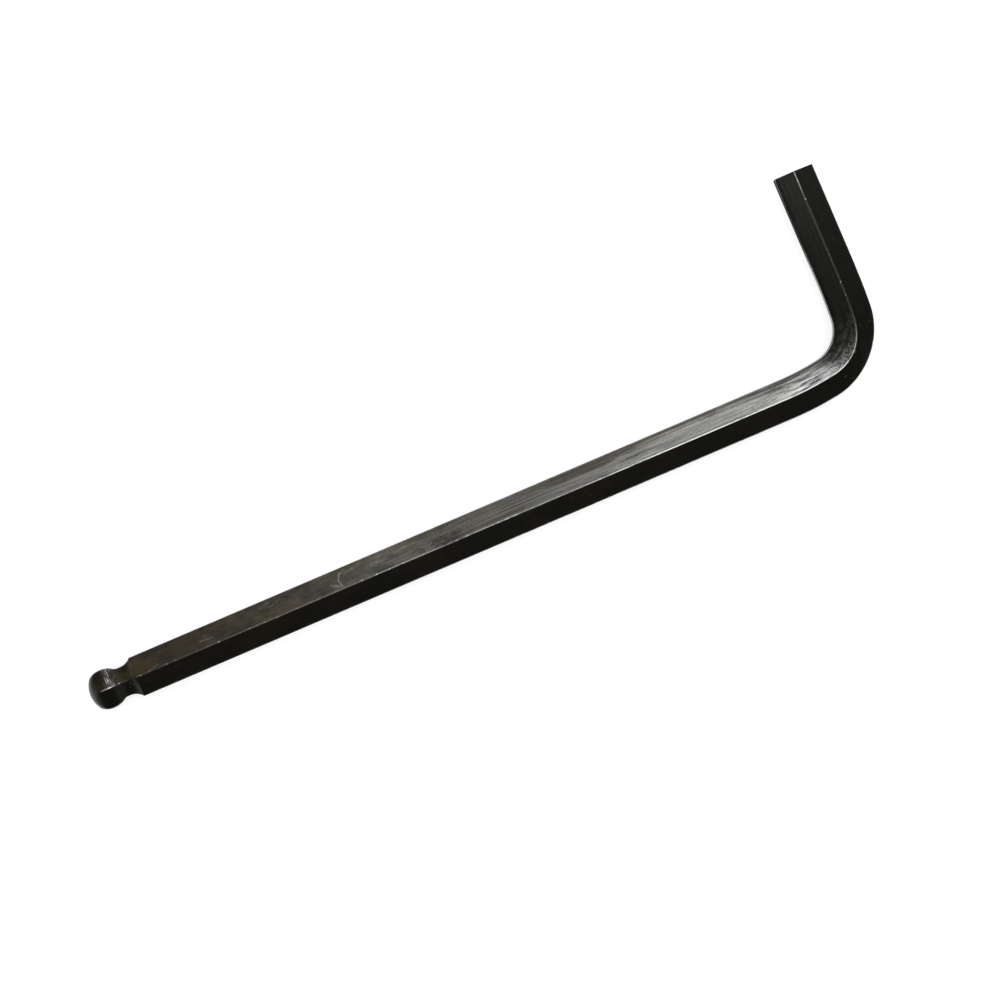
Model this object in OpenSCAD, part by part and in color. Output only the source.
// Ball-end hex key, long pattern: one bar of hexagonal steel, bent cold into an L.
// The long arm lies along X and ends in a ground hexagonal ball.
// The short arm runs along Y and is cut off square.
// The origin is on the surface that the key lies on, below the middle of its outline.

/* [Bar] */
// Width across two opposite flats
af = 8; // [5:0.5:12]
// Radius of the bar's six rounded edges
edge_r = 0.45; // [0.2:0.05:0.9]

/* [Arms] */
// Length of the long arm, from the tip of the ball to the outer flat of the short arm
long_arm = 169; // [80:1:300]
// Length of the short arm, from its cut end to the outer flat of the long arm
short_arm = 44; // [38:1:100]

/* [Bend] */
// Radius of the inner flat in the tight middle of the bend
inner_r = 7; // [4:0.5:12]
// Radius of the bar's axis where it begins to leave the long arm
lead_in_r = 56; // [20:1:150]
// Angle that the bar turns on the lead-in radius
lead_in_angle = 9; // [2:1:20]
// Radius of the bar's axis where it straightens into the short arm
lead_out_r = 120; // [20:1:150]
// Angle that the bar turns on the lead-out radius
lead_out_angle = 4; // [1:1:6]
// How much thinner bending has left the bar, between its inner and outer flats
bend_thinning = 0.2; // [0:0.05:0.5]
// How far bending has drawn the upper and lower edges towards the outside
edge_drift = 0.6; // [0:0.05:1]

/* [Ball end] */
// How much narrower than the bar the ball is, across its flats
ball_relief = 0.16; // [0.04:0.02:0.6]
// How far the nose stops short of a full ball
nose_cut = 0.42; // [0.1:0.02:1]
// How much the radius of the turned nose is larger than the radius of the ball
nose_flatness = 1.28; // [0.9:0.02:3]
// Depth of the neck below each flat of the bar
neck_depth = 1.08; // [0.4:0.02:1.5]
// Radius of the hollow fillet that runs from the back of the ball down to the neck
neck_fillet_r = 1.5; // [0.5:0.1:3]
// Length of the plain neck between the fillet and the shoulder
neck_length = 0.76; // [0.2:0.02:6]
// Radius of the hollow shoulder that runs from the neck up to the flats
shoulder_r = 3.1; // [2:0.1:12]

/* [Hidden] */
$fn = 96;
// Room by which a cutter passes the surface that it cuts
spare = 1;
// A hexagon: how many sides, and the angle from one to the next
sides = 6;
flat_step = 360 / sides;
// Angle between the two arms
elbow = 90;
// Steps of the sweep: round one edge, and degrees from one ring to the next in the bend and at the ball end
edge_steps = 4;
bend_step = 3;
ball_step = 5;
// Foremost place of the ball, as an angle round its profile from its widest place
ball_front = -90;

// Half the width across flats, and the distance from the axis to a sharp and to a rounded corner
half_af = af / 2;
sharp_r = half_af / cos(flat_step / 2);
edge_centre = (half_af - edge_r) / cos(flat_step / 2);
// The key lies on its lower edges, so its axis is this high
axis_z = edge_centre + edge_r;

// Heading of the axis at the ends of the bend's three arcs, and the radius of each
headings = [0, lead_in_angle, elbow - lead_out_angle, elbow];
radii = [lead_in_r, inner_r + half_af, lead_out_r];
arcs = len(radii);
// How far the axis has gone on arc i when it reaches a heading, and where arc i starts
function along(i, heading) = radii[i] * [
    sin(heading) - sin(headings[i]),
    cos(headings[i]) - cos(heading)
];
function arc_start(i) = i == 0 ? [0, 0] : arc_start(i - 1) + along(i - 1, headings[i]);
bend_reach = arc_start(arcs);

// Straight lengths that the bend leaves to the arms
long_straight = long_arm - half_af - bend_reach.x;
short_straight = short_arm - half_af - bend_reach.y;
// Where the bend starts, with the middle of the outline at the origin
tip_x = -long_arm / 2;
bend_at = [tip_x + long_straight, half_af - short_arm / 2];

// Ball end, counted from the tip along the axis
ball_r = half_af - ball_relief / 2;
ball_at = ball_r - nose_cut;
nose_r = ball_r + nose_flatness;
neck_r = half_af - neck_depth;
// Angle past the ball's widest place at which it runs into the fillet, and where the fillet ends
ball_back = acos((neck_r + neck_fillet_r) / (ball_r + neck_fillet_r));
fillet_end = ball_at + (ball_r + neck_fillet_r) * sin(ball_back);
// Where the hollow shoulder starts, and the angle at which it reaches the flats
neck_at = fillet_end + neck_length;
shoulder_turn = acos(1 - neck_depth / shoulder_r);

// Section of the bar as [distance to the inside of the bend, height over the axis]
section = [
    for (corner = [0 : sides - 1], step = [0 : edge_steps])
        let (middle = 90 + corner * flat_step, turn = middle + (step / edge_steps - 0.5) * flat_step)
            edge_centre * [cos(middle), sin(middle)] + edge_r * [cos(turn), sin(turn)]
];

// Even steps from one angle to another, no longer than a step, without the first
function turns(from, to, step) = let (count = ceil((to - from) / step))
    [for (i = [1 : count]) from + (to - from) * i / count];

// Ball end as [distance from the tip, half the width across flats]
ball_end = [
    for (t = turns(ball_front, ball_back, ball_step))
        [ball_at + ball_r * sin(t), ball_r * cos(t)],
    for (t = turns(-ball_back, 0, ball_step))
        [fillet_end + neck_fillet_r * sin(t), neck_r + neck_fillet_r * (1 - cos(t))],
    [neck_at, neck_r],
    for (t = turns(0, shoulder_turn, ball_step))
        [neck_at + shoulder_r * sin(t), neck_r + shoulder_r * (1 - cos(t))]
];

// Rings of the sweep as [heading, place, scale of the section]
rings = [
    for (place = ball_end) [0, [place[0] - long_straight, 0], place[1] / half_af],
    [0, [0, 0], 1],
    for (i = [0 : arcs - 1], heading = turns(headings[i], headings[i + 1], bend_step))
        [heading, arc_start(i) + along(i, heading), 1],
    [elbow, bend_reach + [0, short_straight], 1]
];

// How far bending has changed the section at a heading, from 0 in the arms to 1 in the middle
function strain(heading) = pow(sin(180 * heading / elbow), 2);
// Where a section point goes at that strain, with the upper and lower edges drawn outwards
function bent(u, s) = u * (1 - s * bend_thinning / af) - s * edge_drift * (1 - pow(u / half_af, 2));
// A section point in space
function swept(ring, p) = let (u = bent(p[0] * ring[2], strain(ring[0])))
    [ring[1].x - u * sin(ring[0]), ring[1].y + u * cos(ring[0]), p[1] * ring[2]];

// Bar with its ball end and its bend, as a sweep of the section along the rings
module bar() {
    count = len(section);
    last = (len(rings) - 1) * count;
    polyhedron(
        points = [for (ring = rings, p = section) swept(ring, p)],
        faces = [
            [for (j = [0 : count - 1]) j],
            for (start = [0 : count : last - count], j = [0 : count - 1])
                let (a = start + j, b = start + (j + 1) % count)
                    each [[a, a + count, b], [b, a + count, b + count]],
            [for (j = [count - 1 : -1 : 0]) last + j]
        ]
    );
}

// What turning takes off the nose
module nose_waste() {
    rotate([0, 90, 0])
        difference() {
            translate([0, 0, -spare]) cylinder(r = sharp_r + spare, h = spare + ball_at);
            translate([0, 0, nose_r]) sphere(r = nose_r);
        }
}

// The whole key, one piece of steel
module hex_key() {
    color([0.17, 0.165, 0.15])
        translate([0, 0, axis_z])
            difference() {
                translate([bend_at.x, bend_at.y]) bar();
                translate([tip_x, bend_at.y]) nose_waste();
            }
}

hex_key();
